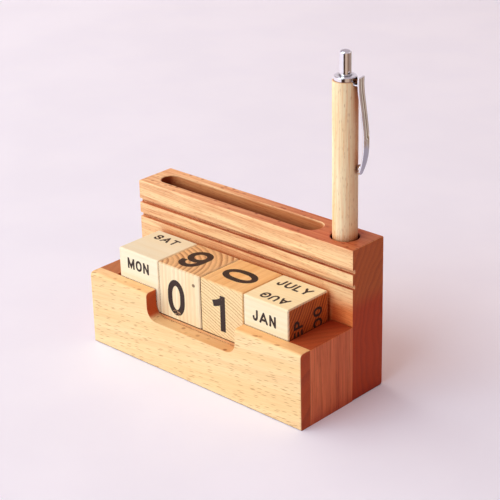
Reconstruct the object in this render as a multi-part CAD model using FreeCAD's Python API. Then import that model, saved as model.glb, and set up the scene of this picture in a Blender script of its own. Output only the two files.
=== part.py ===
import FreeCAD, Part
import math
import os

# Desk calendar in beech: a tray that holds four lettered cubes behind a windowed
# front board, and a tall back block with a slot for cards and a bored hole that
# holds a wooden push-button pen.
#
# Frame: +Z up, front towards -Y, origin at the bottom centre of the wooden body.
# All sizes are in millimetres.

V = FreeCAD.Vector
UP = V(0, 0, 1)

# ------------------------------------------------------------------ cubes
cube_names = ["weekday", "tens", "units", "month"]   # from left to right
cube_edge = 25.0
cube_arris = 0.5               # small sanded flat along every edge
gap_left_end = 1.95            # slack between the left end block and the first cube
gap_between_cubes = 0.15
gap_between_digits = 0.45      # the two digit cubes stand a little apart
gap_right_end = 0.3
gap_in_front = 0.2             # cubes are pushed up against the front board
gap_behind = 1.6               # finger slack towards the back block

# ------------------------------------------------------------------ tray
front_thickness = 6.0
front_top_rounding = 1.8
end_block_width = 11.5
floor_height = 23.75           # cubes stand on the floor block at this height
cube_cover = 11.15             # how much of the outer cubes the front board hides
window_cubes = 2               # cubes that show down to their feet
window_play = 1.5              # window's side beyond the cubes in it
sill_drop = 1.25               # window's sill below the cubes' feet
window_corner = 5.5
edge_break = 0.5               # sanded arris on the outer edges

# ------------------------------------------------------------------ back block
back_thickness = 20.2
back_height = 69.4
rear_foot_rounding = 1.5
slot_width = 10.0
slot_depth = 30.0
slot_margin = 6.3              # wood left beyond the slot at the left end
slot_to_hole = 6.8             # wood left between the slot and the pen hole
mouth_break = 0.3              # eased rim of the slot and of the pen hole
groove_width = 2.0
groove_depth = 1.5
groove_count = 2
groove_drop = 9.8              # first groove's centre below the top of the back block
groove_pitch = 6.9
groove_corner = 0.5

# ------------------------------------------------------------------ pen
pen_clearance = 0.85           # radial, between the barrel and its hole
pen_hole_margin = 6.3          # wood left beyond the hole at the right end
pen_hole_depth = 60.0
pilot_clearance = 0.35         # radial, round the nib that reaches into the pilot hole
pilot_spare = 1.0              # pilot hole's depth below the pushed-out writing point
barrel_diameter = 10.7
barrel_length = 111.5
barrel_bore = 7.6
barrel_end_rounding = 0.3
glue_gap = 0.05                # radial, round parts glued or pressed into the barrel
running_gap = 0.08             # radial, round the sliding push button

cone_length = 16.0
cone_mouth_wall = 0.9
cone_step = 0.1                # radial step between the barrel and the cone's top
cone_lip_height = 1.0          # plain rim round the cone's mouth
cone_waist_diameter = 8.6      # the cone tapers faster below this place
cone_waist_height = 8.0
cone_nozzle_gap = 0.15         # radial, round the nib
cone_nozzle_length = 6.0
cone_chamber_gap = 0.3         # radial, round the spring
cone_spigot_length = 6.0
cone_spigot_wall = 0.8
insert_length = 10.0

refill_retraction = 1.0        # the writing point lies this far inside the cone
refill_point_diameter = 0.8
refill_point_length = 3.0
refill_nib_diameter = 2.3
refill_crimp_height = 1.0
refill_crimp_inset = 0.1       # radial, crimped shoulder inside the outside of the spring
refill_tube_diameter = 3.0
refill_tube_bore = 2.1
refill_barb_length = 3.0
spring_length = 18.0
spring_wire = 0.4
spring_diameter = 4.0          # outside of the coil
spring_turns = 7
spring_wire_sides = 5          # the wire is modelled with this many flats

collar_step = 0.55             # radial step between the barrel and the collar
collar_height = 1.9
collar_chamfer = 0.3
collar_spigot_length = 3.0
button_diameter = 4.9
button_standing = 10.6         # above the collar while the point is retracted
button_dome = 1.3              # height of its rounded end
dome_steps = 4                 # the dome is turned in this many straight cuts
button_flange_reach = 0.4      # radial, flange beyond the button's shank
button_flange_height = 2.0
button_flange_play = 0.15      # radial, round the flange
button_flange_gap = 0.2        # under the collar, with the spring pushing up
click_travel = 5.0

sleeve_length = 23.0
rib_count = 4
rib_height = 10.0
rib_drop = 8.0                 # rib tops below the top of the barrel
rib_clearance = 0.15           # radial, between the ribs and the plain part in them
rib_width = 1.5
fin_width = 1.2
fin_height = 3.0
ramp = 0.7                     # slant across the end of a rib or a fin
skirt_diameter = 3.9           # plain part of the button and of the rotor in the ribs
skirt_bore = 2.2
crown_drop = 14.0              # where the button's crown ends, below the barrel's top
crown_height = 0.9
crown_gap = 0.4                # axial, between the crowns of the button and the rotor
rotor_length = 5.5             # from the refill tube to the roots of the crown
peg_length = 3.0

clip_turn = 11.0               # clip direction from +X towards +Y, in degrees
clip_thickness = 0.7
clip_top_width = 4.5
clip_belly_width = 5.2
clip_tip_width = 4.0
clip_belly = 0.47              # the clip is widest at this share of its length
clip_top_rise = 0.1            # arm's top above the collar's top
clip_bow = ((0.0, 0.0), (0.0, 0.12), (0.36, 0.29), (0.72, 0.45), (0.98, 0.61), (0.99, 0.7),
            (0.66, 0.855))     # shares of the swell and of the length
clip_length = 41.1
clip_root_gap = 1.65           # arm's middle plane from the barrel, at the top
clip_swell = 2.4               # further out than that at the furthest place
clip_tip_gap = 1.25            # arm's middle plane from the barrel, at the tip
clip_knob_stand = 2.3          # arm's middle plane from the barrel, at the knob
clip_knob_gap = 0.3            # between the knob and the barrel
clip_knob_height = 2.7         # knob's root above the tip
clip_knob_radius = 1.8
clip_knob_flat = 1.1           # radius of the knob's blunt end
clip_knob_taper = 0.8          # length of its tapered nose
tab_cover = 0.4                # thickness of the collar above the tab's notch
tab_width = 4.5
tab_height = 0.5
tab_sink = 1.5                 # depth of the notch in the barrel's rim, which the tab lies in
tab_bed = 1.2                  # how far the tab reaches in under the collar
tab_clearance = 0.15

# ------------------------------------------------------------------ derived places
channel_depth = gap_in_front + cube_edge + gap_behind
cube_gaps = [gap_left_end, gap_between_cubes, gap_between_digits, gap_between_cubes]
channel_length = len(cube_names) * cube_edge + sum(cube_gaps) + gap_right_end
front_height = floor_height + cube_cover
window_width = window_cubes * cube_edge + 2 * window_play
window_sill = floor_height - sill_drop
body_length = channel_length + 2 * end_block_width
body_depth = front_thickness + channel_depth + back_thickness

x_left = -body_length / 2
x_right = body_length / 2
y_front = -body_depth / 2
y_rear = body_depth / 2
y_channel = y_front + front_thickness
y_back = y_channel + channel_depth
y_back_middle = (y_back + y_rear) / 2

pen_hole_radius = barrel_diameter / 2 + pen_clearance
pen_x = x_right - pen_hole_margin - pen_hole_radius
pen_y = y_back_middle
slot_left = x_left + slot_margin
slot_right = pen_x - pen_hole_radius - slot_to_hole

pen_foot = back_height - pen_hole_depth            # the cone stands on the hole's floor
barrel_foot = pen_foot + cone_length
barrel_top = barrel_foot + barrel_length
collar_top = barrel_top + collar_height
refill_point_z = pen_foot + refill_retraction
crimp_z = pen_foot + cone_nozzle_length + spring_length
refill_tube_foot = crimp_z + refill_crimp_height
crown_z = barrel_top - crown_drop
rotor_top = crown_z - crown_gap + crown_height
refill_tube_top = rotor_top - crown_height - rotor_length

cone_nozzle_bore = refill_nib_diameter + 2 * cone_nozzle_gap
cone_mouth_diameter = cone_nozzle_bore + 2 * cone_mouth_wall
cone_chamber_bore = spring_diameter + 2 * cone_chamber_gap
cone_spigot_diameter = cone_chamber_bore + 2 * cone_spigot_wall
cone_top_diameter = barrel_diameter - 2 * cone_step
pilot_diameter = refill_nib_diameter + 2 * pilot_clearance
pilot_depth = click_travel - refill_retraction + pilot_spare
refill_crimp_diameter = spring_diameter - 2 * refill_crimp_inset
lining_diameter = barrel_bore - 2 * glue_gap       # round parts fixed in the barrel's bore
collar_diameter = barrel_diameter - 2 * collar_step
button_flange_diameter = button_diameter + 2 * button_flange_reach
works_bore = button_flange_diameter + 2 * button_flange_play
rib_reach = skirt_diameter + 2 * rib_clearance

notch_foot = barrel_top - tab_sink
clip_top = collar_top + clip_top_rise
clip_tip = clip_top - clip_length
clip_root_out = barrel_diameter / 2 + clip_root_gap
clip_knob_out = barrel_diameter / 2 + clip_knob_stand
clip_tip_out = barrel_diameter / 2 + clip_tip_gap
clip_knob_lean = math.atan2(clip_knob_stand - clip_tip_gap, clip_knob_height)

clip_steps = 12                # places where the clip's two faces are offset from its middle
overshoot = 1.0                # how far a cutter runs past the face that it opens
touch = 1e-4                   # two places nearer than this are the same


# ------------------------------------------------------------------ helpers
def block(low, high):
    """Box between two opposite corners."""
    size = V(*high) - V(*low)
    return Part.makeBox(size.x, size.y, size.z, V(*low))


def edges_at(shape, x=None, y=None, z=None):
    """Edges that lie wholly in the given planes."""
    found = []
    for edge in shape.Edges:
        box = edge.BoundBox
        spans = ((x, box.XMin, box.XMax), (y, box.YMin, box.YMax), (z, box.ZMin, box.ZMax))
        if all(at is None or max(abs(low - at), abs(high - at)) < touch for at, low, high in spans):
            found.append(edge)
    return found


def mouth_edges(shape, z):
    """Rims of the openings in the flat face at height z."""
    rims = []
    for face in shape.Faces:
        box = face.BoundBox
        if abs(box.ZMin - z) < touch and abs(box.ZMax - z) < touch:
            for wire in face.Wires:
                if not wire.isSame(face.OuterWire):
                    rims.extend(wire.Edges)
    return rims


def turned(points):
    """Body of revolution about the pen's axis, from (radius, z) corners."""
    corners = [V(radius, 0, z) for radius, z in points]
    face = Part.Face(Part.makePolygon(corners + corners[:1]))
    return at_pen(face.revolve(V(0, 0, 0), UP, 360))


def at_pen(shape):
    """Move a shape made about the Z axis to the pen's axis."""
    shape.translate(V(pen_x, pen_y, 0))
    return shape


def rod(diameter, low, high):
    """Cylinder on the pen's axis between two heights."""
    return at_pen(Part.makeCylinder(diameter / 2, high - low, V(0, 0, low), UP))


def around_pen(shape, count, turn=0.0):
    """Copies of a shape, evenly spaced about the pen's axis."""
    copies = []
    for step in range(count):
        copy = shape.copy()
        copy.rotate(V(pen_x, pen_y, 0), UP, turn + step * 360.0 / count)
        copies.append(copy)
    return copies


def fin(width, low, high, inner, outer, ramp_low=0.0, ramp_high=0.0):
    """Radial key between two radii, with slanted ends, curved to fit its sleeve."""
    half = width / 2
    corners = [
        V(0, -half, low),
        V(0, half, low + ramp_low),
        V(0, half, high + ramp_high),
        V(0, -half, high),
    ]
    plate = Part.Face(Part.makePolygon(corners + corners[:1])).extrude(V(outer + overshoot, 0, 0))
    bottom = low - ramp
    height = high - low + 2 * ramp
    ring = Part.makeCylinder(outer, height, V(0, 0, bottom), UP)
    ring = ring.cut(Part.makeCylinder(inner, height, V(0, 0, bottom), UP))
    return at_pen(plate.common(ring))


def crown_notches(z, direction, turn=0.0):
    """Wedges that leave a crown of pointed teeth at height z."""
    half = math.pi * skirt_diameter / rib_count / 2
    corners = [V(0, -half, z), V(0, half, z), V(0, 0, z + direction * crown_height)]
    wedge = Part.Face(Part.makePolygon(corners + corners[:1])).extrude(V(skirt_diameter, 0, 0))
    return around_pen(at_pen(wedge), rib_count, turn)


# ------------------------------------------------------------------ wooden body
def front_board():
    board = block((x_left, y_front, 0), (x_right, y_channel, front_height))
    board = board.makeFillet(front_top_rounding, edges_at(board, y=y_front, z=front_height))
    arrises = edges_at(board, y=y_front, z=0)
    for x in (x_left, x_right):
        arrises += edges_at(board, x=x, y=y_front)
    board = board.makeFillet(edge_break, arrises)
    half = window_width / 2
    window = block((-half, y_front - overshoot, window_sill),
                   (half, y_channel + overshoot, front_height + overshoot))
    corners = edges_at(window, x=-half, z=window_sill) + edges_at(window, x=half, z=window_sill)
    return board.cut(window.makeFillet(window_corner, corners))


def end_block(side):
    """Upright-grained block that closes the tray; side is -1 at the left, 1 at the right."""
    outer = side * body_length / 2
    inner = outer - side * end_block_width
    piece = block((min(outer, inner), y_channel, 0), (max(outer, inner), y_back, front_height))
    return piece.makeFillet(edge_break, edges_at(piece, x=outer, z=front_height))


def floor_block():
    return block((x_left + end_block_width, y_channel, 0),
                 (x_right - end_block_width, y_back, floor_height))


def card_slot():
    """Round-ended pocket for cards, open at the top."""
    radius = slot_width / 2
    floor = back_height - slot_depth
    height = slot_depth + overshoot
    pocket = block((slot_left + radius, pen_y - radius, floor),
                   (slot_right - radius, pen_y + radius, floor + height))
    for x in (slot_left + radius, slot_right - radius):
        pocket = pocket.fuse(Part.makeCylinder(radius, height, V(x, pen_y, floor), UP))
    return pocket.removeSplitter()


def groove(index):
    """Decorative saw groove along the front of the back block."""
    middle = back_height - groove_drop - index * groove_pitch
    low, high = middle - groove_width / 2, middle + groove_width / 2
    floor = y_back + groove_depth
    cutter = block((x_left - overshoot, y_back - overshoot, low), (x_right + overshoot, floor, high))
    inner = edges_at(cutter, y=floor, z=low) + edges_at(cutter, y=floor, z=high)
    return cutter.makeFillet(groove_corner, inner)


def back_block():
    body = block((x_left, y_back, 0), (x_right, y_rear, back_height))
    body = body.makeFillet(rear_foot_rounding, edges_at(body, y=y_rear, z=0))
    arrises = edges_at(body, z=back_height)
    for x in (x_left, x_right):
        arrises += edges_at(body, x=x, y=y_rear)
    body = body.makeFillet(edge_break, arrises)
    body = body.cut(card_slot())
    body = body.cut(rod(2 * pen_hole_radius, pen_foot, back_height + overshoot))
    body = body.makeChamfer(mouth_break, mouth_edges(body, back_height))
    body = body.cut(rod(pilot_diameter, pen_foot - pilot_depth, pen_foot + overshoot))
    for index in range(groove_count):
        body = body.cut(groove(index))
    return body


def cube(index):
    """One loose cube, standing on the floor block."""
    x = x_left + end_block_width + index * cube_edge + sum(cube_gaps[:index + 1])
    y = y_channel + gap_in_front
    body = block((x, y, floor_height), (x + cube_edge, y + cube_edge, floor_height + cube_edge))
    return body.makeChamfer(cube_arris, body.Edges)


# ------------------------------------------------------------------ pen, outside
def pen_barrel():
    radius, bore = barrel_diameter / 2, barrel_bore / 2
    soft = barrel_end_rounding
    tube = turned([
        (bore, barrel_foot),
        (radius - soft, barrel_foot),
        (radius, barrel_foot + soft),
        (radius, barrel_top - soft),
        (radius - soft, barrel_top),
        (bore, barrel_top),
    ])
    return tube.cut(tab_notch())


def pen_nose_cone():
    """Metal cone in two tapers, with a spring chamber and a spigot for the insert."""
    mouth, spigot = cone_mouth_diameter / 2, cone_spigot_diameter / 2
    spigot_top = barrel_foot + cone_spigot_length
    shelf = pen_foot + cone_nozzle_length
    return turned([
        (mouth, pen_foot),
        (mouth, pen_foot + cone_lip_height),
        (cone_waist_diameter / 2, pen_foot + cone_waist_height),
        (cone_top_diameter / 2, barrel_foot),
        (spigot, barrel_foot),
        (spigot, spigot_top),
        (cone_chamber_bore / 2, spigot_top),
        (cone_chamber_bore / 2, shelf),
        (cone_nozzle_bore / 2, shelf),
        (cone_nozzle_bore / 2, pen_foot),
    ])


def pen_thread_insert():
    """Bush glued into the barrel, which the cone's spigot screws into."""
    top = barrel_foot + insert_length
    bush = rod(lining_diameter, barrel_foot, top)
    return bush.cut(rod(cone_spigot_diameter + 2 * glue_gap, barrel_foot - overshoot, top + overshoot))


def pen_collar():
    """Chrome ring on the barrel's top, notched underneath for the clip's tab."""
    ring = rod(collar_diameter, barrel_top, collar_top)
    ring = ring.makeChamfer(collar_chamfer, edges_at(ring, z=collar_top))
    spigot_foot = barrel_top - collar_spigot_length
    ring = ring.fuse(rod(lining_diameter, spigot_foot, barrel_top))
    ring = ring.cut(rod(works_bore, spigot_foot - overshoot, barrel_top))
    ring = ring.cut(rod(button_diameter + 2 * running_gap, barrel_top - overshoot, collar_top + overshoot))
    return ring.cut(tab_notch()).removeSplitter()


def tab_notch():
    """Space for the clip's tab in the barrel's rim and in the collar above it."""
    half = tab_width / 2 + tab_clearance
    start = collar_diameter / 2 - tab_bed - tab_clearance
    return at_clip(block((start, -half, notch_foot), (barrel_diameter, half, collar_top - tab_cover)))


def at_clip(shape):
    """Turn a shape made along +X to the clip's side of the pen."""
    shape.rotate(V(0, 0, 0), UP, clip_turn)
    return at_pen(shape)


def clip_arm_line(offset):
    """Curve of the clip's arm, in its own upright plane, offset from its middle."""
    run = [(clip_root_out + swell * clip_swell, clip_top - drop * clip_length)
           for swell, drop in clip_bow]
    run += [(clip_knob_out, clip_tip + clip_knob_height), (clip_tip_out, clip_tip)]
    curve = Part.BSplineCurve()
    curve.interpolate([V(out, 0, z) for out, z in run])
    line = []
    for step in range(clip_steps + 1):
        at = curve.FirstParameter + (curve.LastParameter - curve.FirstParameter) * step / clip_steps
        along = curve.tangent(at)[0]
        line.append(curve.value(at) + V(-along.z, 0, along.x) * offset)
    smooth = Part.BSplineCurve()
    smooth.interpolate(line)
    return smooth


def pen_clip():
    """Sprung clip: a bowed, tapering strip with a tab at the root and a knob at the tip."""
    half_thickness = clip_thickness / 2
    outer = clip_arm_line(half_thickness)
    inner = clip_arm_line(-half_thickness)
    ends = [
        Part.LineSegment(outer.StartPoint, inner.StartPoint).toShape(),
        Part.LineSegment(outer.EndPoint, inner.EndPoint).toShape(),
    ]
    side = Part.Wire(Part.__sortEdges__([outer.toShape(), inner.toShape()] + ends))
    strip = Part.Face(side).extrude(V(0, clip_top_width, 0))
    strip.translate(V(0, -clip_top_width / 2, 0))
    arm = strip.common(clip_outline())

    bed = collar_diameter / 2 - tab_bed
    tab_low = notch_foot + tab_clearance
    tab = block((bed, -tab_width / 2, tab_low), (clip_root_out, tab_width / 2, tab_low + tab_height))
    return at_clip(arm.fuse([tab, clip_knob()]).removeSplitter())


def clip_knob():
    """Blunt nub square to the arm's inner face, which grips a pocket's edge against the barrel."""
    lean = clip_knob_lean
    reach = clip_knob_stand - clip_knob_gap - clip_knob_flat * math.sin(lean)
    end = clip_knob_out - reach / math.cos(lean)
    corners = [
        V(clip_knob_out, 0, 0),
        V(clip_knob_out, 0, clip_knob_radius),
        V(end + clip_knob_taper, 0, clip_knob_radius),
        V(end, 0, clip_knob_flat),
        V(end, 0, 0),
    ]
    knob = Part.Face(Part.makePolygon(corners + corners[:1])).revolve(V(0, 0, 0), V(1, 0, 0), 360)
    knob.rotate(V(clip_knob_out, 0, 0), V(0, 1, 0), math.degrees(lean))
    knob.translate(V(0, 0, clip_tip + clip_knob_height))
    return knob


def clip_outline():
    """Front view of the clip's arm: a slender leaf with a square top and a round tip, as a prism."""
    top, belly, tip = (width / 2 for width in (clip_top_width, clip_belly_width, clip_tip_width))
    places = [(top, clip_top), (belly, clip_top - clip_belly * clip_length), (tip, clip_tip + tip)]
    edges = []
    for side in (-1, 1):
        curve = Part.BSplineCurve()
        curve.interpolate([V(0, side * half, z) for half, z in places])
        edges.append(curve.toShape())
    head = clip_top + overshoot
    corners = [(-top, clip_top), (-top, head), (top, head), (top, clip_top)]
    edges += Part.makePolygon([V(0, across, z) for across, z in corners]).Edges
    edges.append(Part.Arc(V(0, tip, clip_tip + tip), V(0, 0, clip_tip), V(0, -tip, clip_tip + tip)).toShape())
    face = Part.Face(Part.Wire(Part.__sortEdges__(edges)))
    return face.extrude(V(2 * (clip_root_out + clip_swell), 0, 0))


# ------------------------------------------------------------------ pen, push-button works
def pen_button():
    """Chrome push button: shank, flange, guided skirt and the crown that drives the rotor."""
    radius = button_diameter / 2
    top = collar_top + button_standing
    flange_top = barrel_top - button_flange_gap
    flange_foot = flange_top - button_flange_height
    turns = [math.pi / 2 * step / dome_steps for step in range(dome_steps + 1)]
    dome = [(radius * math.sin(turn), top - button_dome * (1 - math.cos(turn))) for turn in turns]
    body = turned(dome + [
        (radius, flange_top),
        (button_flange_diameter / 2, flange_top),
        (button_flange_diameter / 2, flange_foot),
        (skirt_diameter / 2, flange_foot),
        (skirt_diameter / 2, crown_z),
        (0, crown_z),
    ])
    body = body.cut(rod(skirt_bore, crown_z - overshoot, flange_foot))
    return body.cut(crown_notches(crown_z, 1))


def pen_cam_sleeve():
    """Moulded sleeve whose ribs guide the fins of the rotor."""
    high = barrel_top - collar_spigot_length
    low = high - sleeve_length
    sleeve = rod(lining_diameter, low, high)
    sleeve = sleeve.cut(rod(works_bore, low - overshoot, high + overshoot))
    rib_top = barrel_top - rib_drop
    rib = fin(rib_width, rib_top - rib_height, rib_top, rib_reach / 2, works_bore / 2 + glue_gap,
              ramp_low=ramp)
    return sleeve.fuse(around_pen(rib, rib_count)).removeSplitter()


def pen_cam_rotor():
    """Finned cam that the button turns and pushes, and that pushes the refill."""
    body = rod(skirt_diameter, refill_tube_top, rotor_top)
    body = body.cut(crown_notches(rotor_top, -1, turn=180.0 / rib_count))
    peg = rod(refill_tube_bore - 2 * running_gap, refill_tube_top - peg_length, refill_tube_top)
    fin_top = rotor_top - crown_height - ramp
    one = fin(fin_width, fin_top - fin_height, fin_top, skirt_diameter / 2 - glue_gap,
              button_flange_diameter / 2, ramp_high=ramp)
    fins = around_pen(one, rib_count, turn=180.0 / rib_count)
    return body.fuse([peg] + fins).removeSplitter()


# ------------------------------------------------------------------ pen, refill and spring
def pen_refill_tube():
    tube = rod(refill_tube_diameter, refill_tube_foot, refill_tube_top)
    return tube.cut(rod(refill_tube_bore, refill_tube_foot - overshoot, refill_tube_top + overshoot))


def pen_refill_tip():
    """Writing point, nib, crimped shoulder for the spring, and the barb in the tube."""
    point, nib = refill_point_diameter / 2, refill_nib_diameter / 2
    crimp, barb = refill_crimp_diameter / 2, refill_tube_bore / 2 - running_gap
    return turned([
        (0, refill_point_z),
        (point, refill_point_z),
        (nib, refill_point_z + refill_point_length),
        (nib, crimp_z),
        (crimp, crimp_z),
        (crimp, refill_tube_foot),
        (barb, refill_tube_foot),
        (barb, refill_tube_foot + refill_barb_length),
        (0, refill_tube_foot + refill_barb_length),
    ])


def pen_spring():
    """Return spring between the shelf in the cone and the refill's crimped shoulder."""
    wire = spring_wire / 2
    coil = (spring_diameter - spring_wire) / 2
    height = spring_length - spring_wire
    path = Part.makeHelix(height / spring_turns, height, coil)
    turns = [2 * math.pi * side / spring_wire_sides for side in range(spring_wire_sides)]
    corners = [V(coil + wire * math.cos(turn), 0, wire * math.sin(turn)) for turn in turns]
    section = Part.makePolygon(corners + corners[:1])
    body = Part.Wire(path.Edges).makePipeShell([section], True, True)
    body.translate(V(0, 0, pen_foot + cone_nozzle_length + wire))
    return at_pen(body)


# ------------------------------------------------------------------ export
def all_parts():
    parts = {
        "back_block": back_block(),
        "front_board": front_board(),
        "end_block_left": end_block(-1),
        "end_block_right": end_block(1),
        "floor_block": floor_block(),
    }
    for index, name in enumerate(cube_names):
        parts["cube_" + name] = cube(index)
    for make in (pen_barrel, pen_nose_cone, pen_thread_insert, pen_collar, pen_clip, pen_button,
                 pen_cam_sleeve, pen_cam_rotor, pen_refill_tube, pen_refill_tip, pen_spring):
        parts[make.__name__] = make()
    return parts


os.makedirs("parts", exist_ok=True)
for node, shape in all_parts().items():
    shape.exportStep("parts/" + node + ".step")
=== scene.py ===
import math

import bmesh
import bpy
from mathutils import Euler, Matrix, Vector, geometry


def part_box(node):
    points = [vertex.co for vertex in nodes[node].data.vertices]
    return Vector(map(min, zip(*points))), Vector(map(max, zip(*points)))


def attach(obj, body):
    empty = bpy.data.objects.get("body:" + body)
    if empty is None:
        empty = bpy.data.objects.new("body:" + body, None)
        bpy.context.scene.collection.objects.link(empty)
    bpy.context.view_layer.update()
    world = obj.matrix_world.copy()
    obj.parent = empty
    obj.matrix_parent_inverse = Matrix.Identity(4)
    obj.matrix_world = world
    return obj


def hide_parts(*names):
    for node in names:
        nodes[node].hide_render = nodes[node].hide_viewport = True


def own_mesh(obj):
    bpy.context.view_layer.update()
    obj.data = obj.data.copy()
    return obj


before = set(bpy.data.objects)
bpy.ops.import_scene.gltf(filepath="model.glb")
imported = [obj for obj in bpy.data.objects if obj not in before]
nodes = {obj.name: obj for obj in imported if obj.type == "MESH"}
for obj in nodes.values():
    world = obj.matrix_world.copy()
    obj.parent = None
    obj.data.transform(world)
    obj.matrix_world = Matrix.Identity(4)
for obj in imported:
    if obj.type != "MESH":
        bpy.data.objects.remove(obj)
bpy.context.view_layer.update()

# The looks of a beech desk calendar: oiled timber with real grain in each board and cube,
# printed days, dates and months, a wooden pen with bright fittings, and a pale studio.
# Sizes are in metres unless a name or comment says millimetres.

MM = 0.001

# ---------------- prints
ink_stand = 0.02     # mm, how far the ink stands above the wood
ink_bed = 0.02       # mm, how far it is pressed in
word_weight = 0.205  # stroke width as a share of the capitals' height
digit_weight = 0.162
letter_gap = 0.16   # between letters, as a share of the capitals' height
corner_steps = 7    # points along each turned corner of a stroke
turn_limit = 0.42   # longest turn of a corner, as a share of the height
slant_limit = 0.2   # a stroke's end leans if both parts of its way are above this
mitre_limit = 0.25  # least share of a corner's sharpness that is mitred in full
same_place = 1e-4   # mm, points nearer than this are one
on_edge = 1e-3      # mm, a stroke ends on its box's edge if it ends as near as this
# Prints out of sight, in mm: their heights, and how far they stand above a face's middle.
word_height, month_height, digit_height = 5.2, 5.6, 16.1
word_rise, month_rise, digit_rise = 6.7, 6.2, -1.2

# ---------------- wood, in mm
unshaded_reach = 8                     # from a piece's left end, as far as its end grain keeps lit tones, free of the painted shade of right-hand ends
top_dark_by = 40                   # from the front board's left end, where its top is darkest
window_top, window_foot = 6, 10    # below the front board's top, between its top and its sill
darkening_from, darkening_to = 12, 24  # from the back block's ends, where its top darkens
# The painted shade inside the back block's slot and pen hole reaches:
bore_reach = 6.4                   # from the block's middle line, past the slot and the hole
bore_end, bore_depth = 3, 9        # from the block's ends, and below its top
cube_shadow_reach, cube_shadow_foot = 2, 9   # round the month cube's top corner, to the side and down, the reach of the cube's painted shadow
# The tens cube's knot, from the right and the top of its front, and the worn ink on it, from the
# middle and the foot of its front: both with the reach of their rim and of their heart.
knot_in, knot_down, knot_rim, knot_heart = 3.6, 5.2, 1.2, 0.6
chip_left, chip_up, chip_rim, chip_heart = 1.9, 3.6, 3.0, 1.6

# ---------------- metal
clip_compass = 101.0             # degrees from the front towards +X, the way that the clip points
clip_half = 2.6                  # mm, half of its greatest width
clip_dome = 0.42                 # mm, how far its leaf is pressed out in the middle
clip_cuts = 4                    # cuts along the leaf on each side of its middle
leaf_from, leaf_rise = 6.2, 0.9  # mm from the pen's middle, where the leaf begins, and its run-in
leaf_crease = 32                 # degrees, edges sharper than this stay sharp
spring_wire = 0.2                # mm, half the wire's thickness
spring_turns, turn_steps, wire_sides = 7, 28, 8
spring_closing = 0.62  # how much closer the end turns lie than the middle ones

# ---------------- studio
camera_place = Vector((0.422855, -0.433936, 0.320089))
camera_turn, camera_lift, camera_roll = 43.462, 23.709, -1.453  # degrees
camera_lens = 110.32
sensor_width = 36.0
# Each lamp: turn and lift in degrees, distance and size in metres, power in watts, and tint.
LAMPS = {
    "key_lamp": (-12.0, 38.0, 3.6, 3.4, 114.0, (0.76, 0.94, 1.0)),
    "left_lamp": (-76.0, 24.0, 2.5, 3.2, 80.0, (0.94, 0.92, 0.84)),
}
floor_lift = 0.11  # share of plain tone that keeps the floor pale for the camera
floor_reach, floor_sides = 7.0, 64
fade_from, fade_to = 0.9, 3.2  # metres, where the floor goes over into the room
# The wall that the metal mirrors, in mm: where its card on the floor starts, its distance, its
# height, and the heights and distances between which it goes over into its low and near tones.
wall_foot, wall_reach, wall_height = 30.0, 200.0, 165.0
low_from, low_to, near_from, near_to = 44, 22, 150, 100
lean_from, lean_to, wall_lean = 58, 48, 16  # its stripes turn by 16 degrees between heights


def tone(red, green, blue):
    """Colour named by its screen values, 0 to 255, as the linear colour that a shader takes."""
    def linear(value):
        share = value / 255
        return share / 12.92 if share <= 0.04045 else ((share + 0.055) / 1.055) ** 2.4
    return (linear(red), linear(green), linear(blue), 1.0)


def middle_of(node):
    low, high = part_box(node)
    return (low + high) / 2


def mesh_of(name, shape, material=None):
    """The mesh that a finished shape gives."""
    mesh = bpy.data.meshes.new(name)
    shape.to_mesh(mesh)
    shape.free()
    if material:
        mesh.materials.append(material)
    return mesh


def placed(name, data):
    """A mesh, lamp or camera as an object of the scene."""
    thing = bpy.data.objects.new(name, data)
    bpy.context.scene.collection.objects.link(thing)
    return thing


# ---------------- node graphs
PALE_ROOM = tone(244, 235, 243)
PALE_FLOOR = tone(240, 231, 246)
OVERHEAD = tone(184, 172, 180)
# Light that the room sends from behind, from above and from elsewhere.
REAR_LIGHT = (0.5, 0.47, 0.45, 1)
HIGH_LIGHT = (0.46, 0.15, 0.06, 1)
ROOM_LIGHT = (0.17, 0.066, 0.04, 1)
MIRRORED_LOW = tone(160, 151, 164)   # what the bright metal mirrors from low in front of it
MIRRORED_NEAR = tone(178, 165, 181)  # and from the floor close by
# And from all round it: degrees turned from the front towards +X, and the tone there.
MIRRORED = [(3, (58, 42, 38)), (31, (78, 58, 50)), (42, (206, 180, 160)), (74, (200, 172, 152)),
            (82, (138, 112, 96)), (120, (146, 120, 106)), (134, (176, 156, 152)),
            (141, (130, 106, 88)), (149, (214, 200, 188)), (155, (112, 88, 68)),
            (164, (150, 128, 108)), (172, (214, 196, 188)), (182, (134, 112, 98)),
            (196, (150, 132, 130))]


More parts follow.
